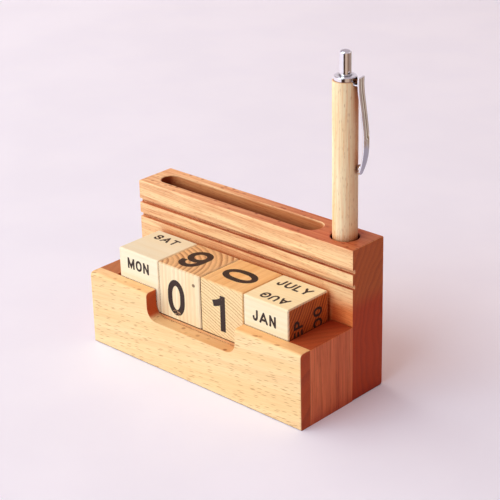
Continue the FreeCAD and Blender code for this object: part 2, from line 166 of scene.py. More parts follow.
class Graph:
    """Adds nodes to the tree of a material, a world or a node group, and joins them."""

    def __init__(self, tree):
        self.tree = tree

    def add(self, kind, inputs=(), **settings):
        node = self.tree.nodes.new("ShaderNode" + kind)
        for name, value in settings.items():
            setattr(node, name, value)
        for name, value in dict(inputs).items():
            self.feed(node.inputs[name], value)
        return node

    def feed(self, socket, value):
        if isinstance(value, bpy.types.NodeSocket):
            self.tree.links.new(value, socket)
        elif value is not None:
            socket.default_value = value

    def math(self, operation, *values, clamp=False):
        return self.add("Math", enumerate(values), operation=operation, use_clamp=clamp).outputs[0]

    def times(self, first, second):
        return self.math("MULTIPLY", first, second)

    def vector(self, operation, *values):
        return self.add("VectorMath", enumerate(values), operation=operation).outputs[0]

    def ease(self, value, low, high):
        """0 below low, 1 above high and a smooth rise between."""
        inputs = {"Value": value, "From Min": low, "From Max": high}
        return self.add("MapRange", inputs, interpolation_type="SMOOTHSTEP").outputs[0]

    def between(self, value, low, high):
        """A share of 0 to 1 turned into the range from low to high."""
        return self.add("MapRange", {"Value": value, "To Min": low, "To Max": high}).outputs[0]

    def blend(self, share, first, second, blend_type="MIX"):
        node = self.add("Mix", data_type="RGBA", blend_type=blend_type)
        for index, value in ((0, share), (6, first), (7, second)):
            self.feed(node.inputs[index], value)
        return node.outputs[2]

    def noise(self, place, scale, detail=2.0, roughness=0.5):
        inputs = {"Vector": place, "Scale": scale, "Detail": detail, "Roughness": roughness}
        return self.add("TexNoise", inputs).outputs

    def length(self, vector):
        return self.add("VectorMath", {0: vector}, operation="LENGTH").outputs["Value"]

    def match(self, first, second):
        """Cosine of the angle between two directions."""
        node = self.add("VectorMath", {0: first, 1: second}, operation="DOT_PRODUCT")
        return node.outputs["Value"]

    def place(self):
        """Where on the object a point lies, in metres."""
        return self.add("TexCoord").outputs["Object"]

    def parts(self, vector):
        """X, Y and Z of a vector."""
        return self.add("SeparateXYZ", {0: vector}).outputs

    def stained(self, share, color, stain):
        """A colour multiplied by another, as far as the share says."""
        return self.blend(share, color, self.blend(1.0, color, stain, "MULTIPLY"))

    def stretched(self, place, along, across):
        """A place scaled differently along the grain and across it."""
        return self.vector("MULTIPLY", place, (along, across, across))

    def group(self, group, **values):
        node = self.add("Group", node_tree=group)
        for name, value in values.items():
            self.feed(node.inputs[name.replace("_", " ")], value)
        return node.outputs


def node_group(name, inputs, outputs):
    """A new shader node group with the given sockets, its graph and its two end nodes."""
    group = bpy.data.node_groups.new(name, "ShaderNodeTree")
    kinds = {"value": "NodeSocketFloat", "place": "NodeSocketVector", "tone": "NodeSocketColor"}
    for label, kind, start in inputs:
        socket = group.interface.new_socket(label, in_out="INPUT", socket_type=kinds[kind])
        socket.default_value = start
    for label, kind in outputs:
        group.interface.new_socket(label, in_out="OUTPUT", socket_type=kinds[kind])
    graph = Graph(group)
    given = group.nodes.new("NodeGroupInput").outputs
    result = group.nodes.new("NodeGroupOutput").inputs
    return group, graph, given, result


WOOD_TONES = ("Pale Tone", "Warm Tone", "Streak Tone", "Fleck Tone", "End Tone", "End Streak Tone")


def timber_group():
    """Solid timber: rings about a pith, fibres, ray flecks and darker end grain. Places in mm."""
    group, g, given, result = node_group(
        "timber",
        [("Grain Turn", "place", (0, 0, 0)), ("Pith", "place", (0, 0, 0)), ("Tree", "value", 0.0),
         ("Ring Spacing", "value", 3.0), ("Ring Start", "value", 0.2), ("Ring Depth", "value", 0.3),
         ("End Depth", "value", 0.4), ("Figure", "value", 3.0), ("Fibre Depth", "value", 0.3),
         ("Fleck Depth", "value", 0.5), ("Fleck Share", "value", 0.5),
         ("Fleck Scale", "place", (0.21, 1.45, 1.45)),
         *((label, "tone", (1, 1, 1, 1)) for label in ("Flat Tint", *WOOD_TONES))],
        [("Color", "tone"), ("Roughness", "value"), ("Height", "value")],
    )
    coordinates = g.add("TexCoord").outputs
    in_mm = g.vector("SCALE", coordinates["Object"])
    in_mm.node.inputs["Scale"].default_value = 1 / MM

    def along_grain(vector):
        inputs = {"Vector": vector, "Rotation": given["Grain Turn"]}
        return g.add("VectorRotate", inputs, rotation_type="EULER_XYZ").outputs[0]

    place, facing = along_grain(in_mm), along_grain(coordinates["Normal"])
    tree_shift = g.add("CombineXYZ", {"X": given["Tree"], "Y": given["Tree"]}).outputs[0]
    sample = g.vector("ADD", place, tree_shift)

    sway = g.noise(g.stretched(sample, 0.009, 0.05), 1.0)["Color"]
    sway = g.vector("SUBTRACT", sway, (0.5, 0.5, 0.5))
    figure = g.vector("MULTIPLY", given["Figure"], (0.0, 1.0, 1.0))
    swayed = g.vector("MULTIPLY_ADD", sway, figure, place)
    from_pith = g.vector("MULTIPLY", g.vector("SUBTRACT", swayed, given["Pith"]), (0.0, 1.0, 1.0))
    count = g.math("DIVIDE", g.length(from_pith), given["Ring Spacing"])
    share = g.math("FRACT", count)
    year = g.add("TexWhiteNoise", {"W": g.math("FLOOR", count)}, noise_dimensions="1D")
    late = g.times(g.ease(share, given["Ring Start"], 0.86), g.ease(share, 1.0, 0.88))
    rings = g.times(late, g.between(year.outputs["Value"], 0.35, 1.0))

    fibre = g.ease(g.noise(g.stretched(sample, 0.05, 1.5), 1.0, 4.0, 0.65)["Fac"], 0.38, 0.72)
    bands = g.ease(g.noise(g.stretched(sample, 0.01, 0.16), 1.0, 3.0)["Fac"], 0.3, 0.7)
    cells = g.vector("MULTIPLY", sample, given["Fleck Scale"])
    rays = g.add("TexVoronoi", {"Vector": cells, "Scale": 1.0}).outputs
    drawn = g.add("SeparateColor", {"Color": rays["Color"]}).outputs
    picked = g.math("LESS_THAN", drawn[0], given["Fleck Share"])
    picked = g.times(picked, g.between(drawn[1], 0.25, 1.0))
    fleck = g.times(g.ease(rays["Distance"], 0.34, 0.12), picked)
    pores = g.ease(g.noise(sample, 2.6, 2.0, 0.7)["Fac"], 0.45, 0.7)

    ground = g.blend(bands, given["Pale Tone"], given["Warm Tone"])
    streak = g.times(fibre, given["Fibre Depth"])
    streak = g.math("MULTIPLY_ADD", rings, given["Ring Depth"], streak, clamp=True)
    side = g.blend(streak, ground, given["Streak Tone"])
    side = g.blend(g.times(fleck, given["Fleck Depth"]), side, given["Fleck Tone"])
    end_streak = g.math("MULTIPLY_ADD", rings, given["End Depth"], g.times(pores, 0.3), clamp=True)
    end = g.blend(end_streak, given["End Tone"], given["End Streak Tone"])
    # Upward faces take the Flat Tint: partly the other cut of a top, partly painted light that
    # makes tops lighter or darker than the sides.
    ways = g.parts(facing)
    flat = g.ease(g.math("ABSOLUTE", ways[2]), 0.6, 0.95)
    side = g.stained(flat, side, given["Flat Tint"])
    cut = g.ease(g.math("ABSOLUTE", ways[0]), 0.55, 0.9)

    g.feed(result["Color"], g.blend(cut, side, end))
    g.feed(result["Roughness"], g.math("MULTIPLY_ADD", fibre, 0.12, g.between(cut, 0.42, 0.55)))
    sunk = g.math("ADD", g.times(fibre, 0.5), g.times(fleck, 0.7))
    sunk = g.math("MULTIPLY_ADD", pores, g.times(cut, 0.5), sunk)
    g.feed(result["Height"], g.math("SUBTRACT", 1.0, sunk))
    return group


def edge_group():
    """Mask of the strip along a piece's edges, broken up a little, that the edge tone paints as
    wear together with a painted highlight.
    """
    group, g, given, result = node_group(
        "edge_wear_and_highlight", [("Width", "value", 0.001), ("Break Up", "value", 0.4)],
        [("Mask", "value")])
    rounded = g.add("Bevel", {"Radius": given["Width"]}, samples=6).outputs[0]
    true_normal = g.add("NewGeometry").outputs["Normal"]
    patchy = g.noise(g.place(), 420.0, 3.0)["Fac"]
    strength = g.math("SUBTRACT", 1.0, g.times(patchy, given["Break Up"]))
    worn = g.ease(g.match(rounded, true_normal), 0.995, 0.86)
    g.feed(result["Mask"], g.times(worn, strength))
    return group


def left_part_group():
    """Marks what lies left of a place along a plank."""
    group, g, given, result = node_group(
        "left_part", [("Until", "value", 0.0)], [("Mask", "value")])
    g.feed(result["Mask"], g.math("LESS_THAN", g.parts(g.place())["X"], given["Until"]))
    return group


def crevice_shade_group():
    """Mask of narrow gaps and inside corners, for the shade painted there."""
    group, g, given, result = node_group(
        "painted_crevice_shade",
        [("Reach", "value", 0.001), ("Open Share", "value", 0.66), ("Shut Share", "value", 0.22)],
        [("Mask", "value")])
    open_share = g.add("AmbientOcclusion", {"Distance": given["Reach"]}, samples=4).outputs["AO"]
    g.feed(result["Mask"], g.ease(open_share, given["Open Share"], given["Shut Share"]))
    return group


def surface_group():
    """Slight variation of a smooth surface: smudges in the shine and a fine bump."""
    group, g, given, result = node_group(
        "surface", [("Smudge Size", "value", 8.0), ("Grit Size", "value", 0.3),
                    ("Shine From", "value", 0.1), ("Shine To", "value", 0.2)],
        [("Roughness", "value"), ("Height", "value"), ("Smudge", "value")])
    place = g.place()
    smudge = g.noise(place, g.math("DIVIDE", 1 / MM, given["Smudge Size"]), 3.0)["Fac"]
    grit = g.noise(place, g.math("DIVIDE", 1 / MM, given["Grit Size"]), 2.0)["Fac"]
    clear = g.ease(smudge, 0.35, 0.65)
    spread = g.math("SUBTRACT", given["Shine To"], given["Shine From"])
    g.feed(result["Roughness"], g.math("MULTIPLY_ADD", clear, spread, given["Shine From"]))
    g.feed(result["Height"], grit)
    g.feed(result["Smudge"], clear)
    return group


timber = timber_group()
edge_wear_and_highlight = edge_group()
painted_crevice_shade = crevice_shade_group()
left_part = left_part_group()
surface = surface_group()


# ---------------- materials
def new_material(name):
    material = bpy.data.materials.new(name)
    material.use_nodes = True
    graph = Graph(material.node_tree)
    shader = material.node_tree.nodes["Principled BSDF"].inputs
    return material, graph, shader


def base_color(material):
    return material.node_tree.nodes["Principled BSDF"].inputs["Base Color"]


def bump(graph, height, depth, eased=None):
    """Normal of a surface of the given depth, with its edges eased by a radius, both in mm."""
    inputs = {"Height": height, "Distance": depth * MM, "Strength": 1.0}
    if eased:
        inputs["Normal"] = graph.add("Bevel", {"Radius": eased * MM}, samples=4).outputs[0]
    return graph.add("Bump", inputs).outputs[0]


# Tints of the shade painted in narrow gaps and in hollows.
GAP_SHADE_TINT = tone(112, 58, 40)
HOLLOW_SHADE_TINT = tone(214, 148, 112)
# Turns in degrees that lay timber cut along each axis with its grain along X.
GRAIN_TURNS = {"X": (0, 0, 0), "Y": (0, 0, -90), "Z": (0, 90, 0)}


def wood(name, along, pith, tones, tilt=(0, 0, 0), edge_wear_highlight_tone=None, edge_wear_highlight_amount=0.5,
         grain_height=0.03, gap_shade_reach=1.3, hollow_reach=None, **values):
    """Timber cut with its grain along one axis from a tree whose pith passes a point in mm."""
    material, g, shader = new_material(name)
    turn = Euler([math.radians(base + extra) for base, extra in zip(GRAIN_TURNS[along], tilt)])
    values.update({label: tone(*rgb) for label, rgb in zip(WOOD_TONES, tones)})
    pith = turn.to_matrix() @ Vector(pith)
    solid = g.group(timber, Grain_Turn=tuple(turn), Pith=tuple(pith), **values)
    color = solid["Color"]
    # The edge tone paints wear along the edges together with painted light on their rounding: on
    # most pieces a lighter highlight, on the back block a darker band.
    if edge_wear_highlight_tone:
        worn = g.group(edge_wear_and_highlight, Width=0.9 * MM)["Mask"]
        color = g.blend(g.times(worn, edge_wear_highlight_amount), color, tone(*edge_wear_highlight_tone))
    # Painted shade: hollows and narrow gaps of the wood darken where shade falls in them.
    if hollow_reach:
        hollow_shade = g.group(painted_crevice_shade, Reach=hollow_reach * MM, Open_Share=0.84, Shut_Share=0.36)["Mask"]
        color = g.stained(hollow_shade, color, HOLLOW_SHADE_TINT)
    gap_shade = g.group(painted_crevice_shade, Reach=gap_shade_reach * MM)["Mask"]
    g.feed(shader["Base Color"], g.stained(gap_shade, color, GAP_SHADE_TINT))
    shader["Specular IOR Level"].default_value = 0.25
    g.feed(shader["Roughness"], solid["Roughness"])
    g.feed(shader["Normal"], bump(g, solid["Height"], grain_height))
    return material


def plain(name, base, other, shine, metallic=0.0, grit=0.3, depth=0.004, smudge=8.0,
          gap_shade_tone=None, eased=None):
    """Metal, plastic or ink: two close tones in smudges, with a fine bump."""
    material, g, shader = new_material(name)
    finish = g.group(surface, Smudge_Size=smudge, Grit_Size=grit, Shine_From=shine[0],
                     Shine_To=shine[1])
    color = g.blend(finish["Smudge"], tone(*base), tone(*other))
    # Painted shade: narrow gaps darken to the tone given for them.
    if gap_shade_tone:
        gap_shade = g.group(painted_crevice_shade, Reach=2.2 * MM, Open_Share=0.86, Shut_Share=0.42)["Mask"]
        color = g.blend(gap_shade, color, tone(*gap_shade_tone))
    g.feed(shader["Base Color"], color)
    g.feed(shader["Roughness"], finish["Roughness"])
    g.feed(shader["Normal"], bump(g, finish["Height"], depth, eased))
    shader["Metallic"].default_value = metallic
    return material


def beyond(node, slope, distance, plane):
    """Point in mm off a node's middle, square to ring lines that slope by degrees in a plane."""
    middle = middle_of(node) / MM
    rise = math.radians(slope)
    first, second = ("xyz".index(axis) for axis in plane)
    middle[first] -= math.sin(rise) * distance
    middle[second] += math.cos(rise) * distance
    return middle


# The tones of each wood, in the order of WOOD_TONES. The deep red end tones of the first two, and
# all tones of the right end block, are partly painted shade for faces turned away from the lamps.
BEECH = ((252, 222, 171), (250, 213, 156), (226, 166, 106),
         (180, 118, 64), (202, 88, 38), (148, 54, 22))
BLOCK_BEECH = ((255, 224, 172), (254, 208, 154), (214, 126, 76),
               (168, 86, 46), (204, 104, 43), (151, 64, 24))
END_BEECH_IN_SHADE = ((252, 146, 88), (236, 124, 72), (188, 82, 44),
             (150, 66, 34), (180, 80, 40), (134, 48, 22))
LEFT_BEECH = ((222, 154, 104), (212, 142, 94), (180, 112, 70),
              (152, 92, 56), (186, 116, 72), (154, 90, 54))


def dress_body():
    """Beech boards of the tray and of the back block, each from its own plank."""
    front = wood("beech_front", "X", (0, 60, -95), BEECH, tilt=(0, 7.0, 0), Tree=3.1,
                 Ring_Spacing=7.0, Ring_Depth=0.2, Figure=9.0, Fibre_Depth=0.28, Fleck_Depth=0.92,
                 Fleck_Share=0.8, Fleck_Scale=(0.16, 0.27, 1.6), gap_shade_reach=1.8,
                 edge_wear_highlight_tone=(255, 206, 150), edge_wear_highlight_amount=0.4)
    back = wood("beech_back", "X", (0, 95, 20), BLOCK_BEECH, tilt=(0, -1.5, 0), Tree=21.7,
                Ring_Spacing=3.2, Ring_Depth=0.5, Figure=10.0, Fibre_Depth=0.56, Fleck_Depth=0.85,
                Fleck_Share=0.75, Fleck_Scale=(0.26, 0.4, 1.9), gap_shade_reach=2.0, hollow_reach=9.0,
                edge_wear_highlight_tone=(232, 150, 104), edge_wear_highlight_amount=0.3)
    upright = {"Ring_Spacing": 3.4, "Ring_Depth": 0.45, "Figure": 4.0, "Fibre_Depth": 0.6,
               "Fleck_Depth": 0.4, "Fleck_Share": 0.3, "hollow_reach": 12.0}
    # The right end block's redder, darker tones are partly its board and partly painted shade of
    # its right side and top.
    right = wood("beech_ends_in_shade", "Z", (150, -60, 0), END_BEECH_IN_SHADE, Tree=47.0, **upright)
    left = wood("beech_left", "Z", (-150, -60, 0), LEFT_BEECH, Tree=52.0, **upright)
    floor = wood("beech_floor", "X", (0, 40, -60), BEECH, Tree=63.0, Ring_Spacing=5.0,
                 hollow_reach=12.0)
    shade_back(back)
    shade_front(front)
    # The planks' left ends drop the painted shade of their right-hand end tones.
    for plank in (front, back):
        unshaded_left_end(plank, "front_board", LEFT_BEECH)
    for name, material in (("front_board", front), ("back_block", back), ("end_block_left", left),
                           ("end_block_right", right), ("floor_block", floor)):
        paint(name, material)


def timber_node(graph):
    """The node of a wood that holds its timber."""
    groups = (node for node in graph.tree.nodes if node.type == "GROUP")
    return next(node for node in groups if node.node_tree == timber)


def unshaded_left_end(material, node, tones):
    """Near a node's left end the end grain of its wood takes the end tones of another, free of the
    painted shade that its own end tones carry for the right-hand end.
    """
    g = Graph(material.node_tree)
    left = g.group(left_part, Until=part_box(node)[0].x + unshaded_reach * MM)["Mask"]
    for label, rgb in list(zip(WOOD_TONES, tones))[4:]:
        socket = timber_node(g).inputs[label]
        g.feed(socket, g.blend(left, tuple(socket.default_value), tone(*rgb)))


def shade_front(material):
    """The front board's top and the sill of its window darken a little towards the right."""
    g = Graph(material.node_tree)
    low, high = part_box("front_board")
    place = g.parts(g.place())
    start = g.ease(place["X"], low.x, low.x + top_dark_by * MM)
    top = g.blend(start, tone(255, 254, 254), tone(246, 225, 206))
    sill = g.blend(g.ease(place["X"], low.x, high.x), tone(255, 254, 252), tone(210, 172, 146))
    in_window = g.ease(place["Z"], high.z - window_top * MM, high.z - window_foot * MM)
    g.feed(timber_node(g).inputs["Flat Tint"], g.blend(in_window, top, sill))


def shade_back(material):
    """The back block darkens on top towards the pen, and has painted shade down its bores and a
    painted shadow of the month cube right of that cube.
    """
    g = Graph(material.node_tree)
    low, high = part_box("back_block")
    place = g.parts(g.place())
    right_darkening = g.ease(place["X"], low.x + darkening_from * MM, high.x - darkening_to * MM)
    top = g.blend(right_darkening, tone(255, 243, 236), tone(206, 146, 124))
    g.feed(timber_node(g).inputs["Flat Tint"], top)
    # Painted shade: the slot and the pen hole darken with depth.
    from_middle = g.math("ABSOLUTE", g.math("SUBTRACT", place["Y"], middle_of("pen_barrel").y))
    inwards = g.math("LESS_THAN", g.math("ABSOLUTE", place["X"]), high.x - bore_end * MM)
    bored = g.times(g.math("LESS_THAN", from_middle, bore_reach * MM), inwards)
    bored = g.times(bored, g.ease(place["Z"], high.z, high.z - MM))
    depth = g.ease(place["Z"], high.z, high.z - bore_depth * MM)
    inside = g.blend(depth, tone(228, 180, 156), tone(112, 40, 26))
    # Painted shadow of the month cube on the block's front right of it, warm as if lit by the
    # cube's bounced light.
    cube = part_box("cube_month")[1]
    beside = g.ease(place["X"], cube.x - cube_shadow_reach * MM, cube.x + cube_shadow_reach * MM)
    corner = g.times(beside, g.ease(place["Z"], cube.z + MM, cube.z - cube_shadow_foot * MM))
    base = base_color(material)
    found = g.stained(corner, base.links[0].from_socket, tone(250, 184, 144))
    g.feed(base, g.stained(bored, found, inside))


def paint(node, material):
    nodes[node].material_slots[0].material = material


LIGHT_CREAM = ((252, 240, 214), (250, 234, 202), (240, 210, 162),
               (226, 184, 132), (240, 206, 158), (204, 156, 108))
# CREAM's end tones are partly painted shade, for the month cube's right face; its left end takes
# LIGHT_CREAM's.
CREAM = ((250, 237, 206), (248, 231, 196), (242, 214, 166),
         (226, 184, 132), (210, 112, 46), (126, 44, 10))
PINE = ((252, 240, 208), (249, 225, 180), (226, 172, 112),
        (196, 134, 84), (238, 194, 140), (158, 90, 46))
PLAIN_PINE = ((246, 202, 142), (238, 186, 122), (216, 154, 96),
              (190, 128, 78), (251, 222, 170), (176, 116, 64))


def dress_cubes():
    """The four cubes, each cut another way so that its faces show their own grain."""
    # The Flat Tint of the weekday and month cubes is partly painted light on their tops.
    weekday = wood("wood_weekday", "X", beyond("cube_weekday", 8, -60, "yz"), LIGHT_CREAM, Tree=5.0,
                   Ring_Spacing=4.0, Ring_Depth=0.14, End_Depth=0.3, Fibre_Depth=0.12,
                   Fleck_Depth=0.1, Flat_Tint=tone(241, 246, 246), edge_wear_highlight_tone=(255, 244, 220))
    tens = wood("wood_tens", "Z", (-28, -23, 0), PINE, Tree=11.0, Ring_Spacing=2.35,
                Ring_Depth=0.26, End_Depth=0.8, Figure=1.6, Fibre_Depth=0.3, Fleck_Depth=0.2,
                edge_wear_highlight_tone=(252, 236, 204))
    units = wood("wood_units", "Y", beyond("cube_units", -22, -130, "xz"), PLAIN_PINE, Tree=17.0,
                 Ring_Spacing=1.45, Ring_Start=0.5, Ring_Depth=0.45, End_Depth=0.74, Figure=2.0,
                 Fibre_Depth=0.25, Fleck_Depth=0.3, edge_wear_highlight_tone=(250, 220, 168))
    month = wood("wood_month", "X", beyond("cube_month", 57, 90, "yz"), CREAM, Tree=29.0,
                 Ring_Spacing=1.6, Ring_Depth=0.4, End_Depth=1.0, Figure=1.2, Fibre_Depth=0.16,
                 Fleck_Depth=0.1, Flat_Tint=tone(255, 255, 244), edge_wear_highlight_tone=(255, 236, 200))
    unshaded_left_end(month, "cube_month", LIGHT_CREAM)
    low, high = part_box("cube_tens")
    pin_knot(tens, Vector((high.x - knot_in * MM, low.y, high.z - knot_down * MM)))
    for name, material in zip(PRINTS, (weekday, tens, units, month)):
        paint("cube_" + name, material)


def pin_knot(material, place):
    """A tiny dark knot at one place of a wood."""
    g = Graph(material.node_tree)
    base = base_color(material)
    away = g.vector("SUBTRACT", g.place(), tuple(place))
    distance = g.length(g.vector("MULTIPLY", away, (1.0, 0.3, 1.2)))
    knot = g.times(g.ease(distance, knot_rim * MM, knot_heart * MM), 0.85)
    g.feed(base, g.blend(knot, base.links[0].from_socket, tone(104, 56, 32)))


PEN_WOOD = ((255, 239, 203), (255, 228, 181), (244, 192, 131),
            (196, 140, 88), (214, 156, 104), (156, 98, 60))


def dress_pen():
    """The wooden pen: its barrel, its bright fittings and the works inside it."""
    # The barrel's painted shade in hollows darkens it where the clip shelters it.
    barrel = wood("wood_pen", "Z", (60, 32, 0), PEN_WOOD, Tree=71.0, Ring_Spacing=1.7,
                  Ring_Depth=0.34, Figure=7.0, Fibre_Depth=0.7, Fleck_Depth=0.7, Fleck_Share=0.7,
                  Fleck_Scale=(0.3, 2.2, 2.2), grain_height=0.02, gap_shade_reach=1.2, hollow_reach=6.0)
    # The chrome's tone for narrow gaps is painted shade, black in the notch under the collar.
    chrome = plain("chrome", (250, 248, 250), (240, 238, 242), (0.04, 0.1), metallic=1.0, grit=0.25,
                   depth=0.0004, gap_shade_tone=(40, 20, 26), eased=0.35)
    steel = plain("spring_steel", (176, 178, 182), (158, 160, 166), (0.2, 0.3), metallic=1.0)
    brass = plain("brass", (214, 176, 98), (200, 160, 84), (0.18, 0.28), metallic=1.0)
    white = plain("white_plastic", (232, 230, 224), (222, 220, 214), (0.3, 0.42), grit=0.5)
    clear = plain("refill_plastic", (196, 200, 206), (178, 184, 192), (0.25, 0.35), grit=0.5)
    domed_clip(chrome)
    return_spring(steel)
    for material, names in ((barrel, "barrel"), (chrome, "button collar clip nose_cone"),
                            (steel, "spring"), (brass, "refill_tip thread_insert"),
                            (white, "cam_sleeve cam_rotor"), (clear, "refill_tube")):
        for name in names.split():
            paint("pen_" + name, material)


def domed_clip(material):
    """The clip, its leaf pressed round across its width, which draws the light out in stripes."""
    middle = middle_of("pen_barrel")
    toward = math.radians(clip_compass)
    out = Vector((math.sin(toward), -math.cos(toward), 0))
    across = Vector((math.cos(toward), math.sin(toward), 0))
    shape = bmesh.new()
    shape.from_mesh(nodes["pen_clip"].data)
    bmesh.ops.remove_doubles(shape, verts=shape.verts, dist=1e-3 * MM)
    for cut in range(-clip_cuts, clip_cuts + 1):
        everything = shape.verts[:] + shape.edges[:] + shape.faces[:]
        bmesh.ops.bisect_plane(shape, geom=everything, plane_no=across,
                               plane_co=middle + across * clip_half * cut / (clip_cuts + 1) * MM)
    bmesh.ops.dissolve_degenerate(shape, dist=2e-3 * MM, edges=shape.edges)
    for vert in shape.verts:
        spot = (vert.co - middle) / MM
        on_leaf = min(max((spot.dot(out) - leaf_from) / leaf_rise, 0.0), 1.0)
        vert.co += out * on_leaf * clip_dome * (1 - (spot.dot(across) / clip_half) ** 2) * MM
    shape.verts.index_update()
    mesh = bpy.data.meshes.new("domed_clip")
    mesh.from_pydata([vert.co[:] for vert in shape.verts], [],
                     [[vert.index for vert in face.verts] for face in shape.faces])
    shape.free()
    mesh.shade_smooth()
    mesh.set_sharp_from_angle(angle=math.radians(leaf_crease))
    mesh.materials.append(material)
    piece = placed("domed_clip", mesh)
    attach(piece, "clip")
    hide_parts("pen_clip")


def return_spring(material):
    """Coil spring round the refill's foot, its end turns closed."""
    low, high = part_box("pen_spring")
    middle = (low + high) / 2
    coil = (high.x - low.x) / 2 - spring_wire * MM
    rise = high.z - low.z - 2 * spring_wire * MM
    steps = spring_turns * turn_steps
    around_wire = [math.tau * side / wire_sides for side in range(wire_sides)]
    shape = bmesh.new()
    rings = []
    for step in range(steps + 1):
        share = step / steps
        turn = math.tau * spring_turns * share
        out = Vector((math.cos(turn), math.sin(turn), 0))
        closing = share - spring_closing * math.sin(math.tau * share) / math.tau
        height = low.z + spring_wire * MM + rise * closing
        centre = Vector((middle.x, middle.y, height)) + out * coil
        ring = [out * math.cos(angle) + Vector((0, 0, math.sin(angle))) for angle in around_wire]
        rings.append([shape.verts.new(centre + place * spring_wire * MM) for place in ring])
    for first, second in zip(rings, rings[1:]):
        for side in range(wire_sides):
            after = (side + 1) % wire_sides
            shape.faces.new((first[side], first[after], second[after], second[side])).smooth = True
    shape.faces.new(rings[0])
    shape.faces.new(rings[-1][::-1])
    bmesh.ops.recalc_face_normals(shape, faces=shape.faces)
    piece = placed("return_spring", mesh_of("return_spring", shape, material))
    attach(piece, "pen")
    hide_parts("pen_spring")
    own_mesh(piece)


# ---------------- lettering
# Each letter: its width as a share of its height, and its strokes. A stroke is a run of points in
# a box one wide and one high; T marks a corner that turns smoothly. A stroke that ends where it
# began is closed.
T = True
STEM, FAR_STEM = [(0, 0), (0, 1)], [(1, 0), (1, 1)]
TOP_BAR, FOOT_BAR = [(0, 1), (1, 1)], [(0, 0), (1, 0)]
OVAL = [(0.5, 0), (1, 0, T), (1, 1, T), (0, 1, T), (0, 0, T), (0.5, 0)]
LETTERS = {
    "A": (0.92, [[(0, 0), (0.5, 1), (1, 0)], [(0.2, 0.27), (0.8, 0.27)]]),
    "B": (0.74, [[(0, 1), (0.93, 1, T), (0.93, 0.53, T), (0, 0.53)],
                 [(0, 0.53), (1, 0.53, T), (1, 0, T), (0, 0)], STEM]),
    "C": (0.82, [[(1, 0.7), (1, 1, T), (0, 1, T), (0, 0, T), (1, 0, T), (1, 0.3)]]),
    "D": (0.8, [[(0, 0), (1, 0, T), (1, 1, T), (0, 1), (0, 0)]]),
    "E": (0.66, [STEM, TOP_BAR, [(0, 0.52), (0.9, 0.52)], FOOT_BAR]),
    "F": (0.62, [STEM, TOP_BAR, [(0, 0.5), (0.85, 0.5)]]),
    "G": (0.84, [[(1, 0.72), (1, 1, T), (0, 1, T), (0, 0, T), (1, 0, T), (1, 0.46), (0.56, 0.46)]]),
    "H": (0.78, [STEM, FAR_STEM, [(0, 0.52), (1, 0.52)]]),
    "I": (0.0, [STEM]),
    "J": (0.58, [[(1, 1), (1, 0, T), (0, 0, T), (0, 0.3)]]),
    "L": (0.6, [[(0, 1), (0, 0)], FOOT_BAR]),
    "M": (0.86, [STEM, FAR_STEM, [(0, 1), (0.5, 0.1), (1, 1)]]),
    "N": (0.72, [STEM, FAR_STEM, [(0.02, 1), (0.98, 0)]]),
    "O": (0.76, [OVAL]),
    "P": (0.7, [STEM, [(0, 1), (1, 1, T), (1, 0.44, T), (0, 0.44)]]),
    "R": (0.76, [STEM, [(0, 1), (0.94, 1, T), (0.94, 0.46, T), (0, 0.46)],
                 [(0.52, 0.46), (1, 0)]]),
    "S": (0.74, [[(0.96, 0.74), (0.96, 1, T), (0.03, 1, T), (0.03, 0.53, T), (1, 0.47, T),
                  (1, 0, T), (0, 0, T), (0, 0.26)]]),
    "T": (0.76, [[(0.5, 0), (0.5, 1)], TOP_BAR]),
    "U": (0.78, [[(0, 1), (0, 0, T), (1, 0, T), (1, 1)]]),
    "V": (0.9, [[(0, 1), (0.5, 0), (1, 1)]]),
    "W": (1.3, [[(0, 1), (0.24, 0), (0.5, 1), (0.76, 0), (1, 1)]]),
    "Y": (0.78, [[(0, 1), (0.5, 0.44), (1, 1)], [(0.5, 0.44), (0.5, 0)]]),
    "0": (0.605, [OVAL]),
    "1": (0.485, [FAR_STEM, [(1, 0.97), (0.62, 0.83, T), (0, 0.78)]]),
    "2": (0.7, [[(0, 0.72), (0, 1, T), (1, 1, T), (1, 0.62, T), (0, 0), (1, 0)]]),
    "3": (0.7, [[(0, 0.78), (0, 1, T), (0.96, 1, T), (0.96, 0.54, T), (0.36, 0.54)],
                [(0.36, 0.54), (1, 0.54, T), (1, 0, T), (0, 0, T), (0, 0.22)]]),
    "4": (0.74, [[(0.72, 0), (0.72, 1), (0, 0.3), (1, 0.3)]]),
    "5": (0.7, [[(0.94, 1), (0.12, 1), (0.02, 0.48)],
                [(0.02, 0.55), (0.1, 0.64, T), (1, 0.64, T), (1, 0, T), (0, 0, T), (0, 0.22)]]),
    "7": (0.7, [[(0, 1), (1, 1), (0.34, 0)]]),
    "8": (0.7, [[(0.5, 0), (1, 0, T), (1, 0.54, T), (0, 0.54, T), (0, 0, T), (0.5, 0)],
                [(0.5, 0.54), (0.94, 0.54, T), (0.94, 1, T), (0.06, 1, T), (0.06, 0.54, T),
                 (0.5, 0.54)]]),
    "9": (0.69, [[(0.5, 1), (0, 1, T), (0, 0.4, T), (1, 0.4, T), (1, 1, T), (0.5, 1)],
                [(1, 0.7), (1, 0, T), (0.04, 0, T), (0.04, 0.22)]]),
}


def turned_corner(before, corner, after, first, second):
    """Points of a quarter ellipse that replaces a corner, reaching back and on by two lengths."""
    start = (before - corner).normalized() * first
    end = (after - corner).normalized() * second
    turns = [math.pi / 2 * step / corner_steps for step in range(corner_steps + 1)]
    return [corner + start * (1 - math.sin(turn)) + end * (1 - math.cos(turn)) for turn in turns]


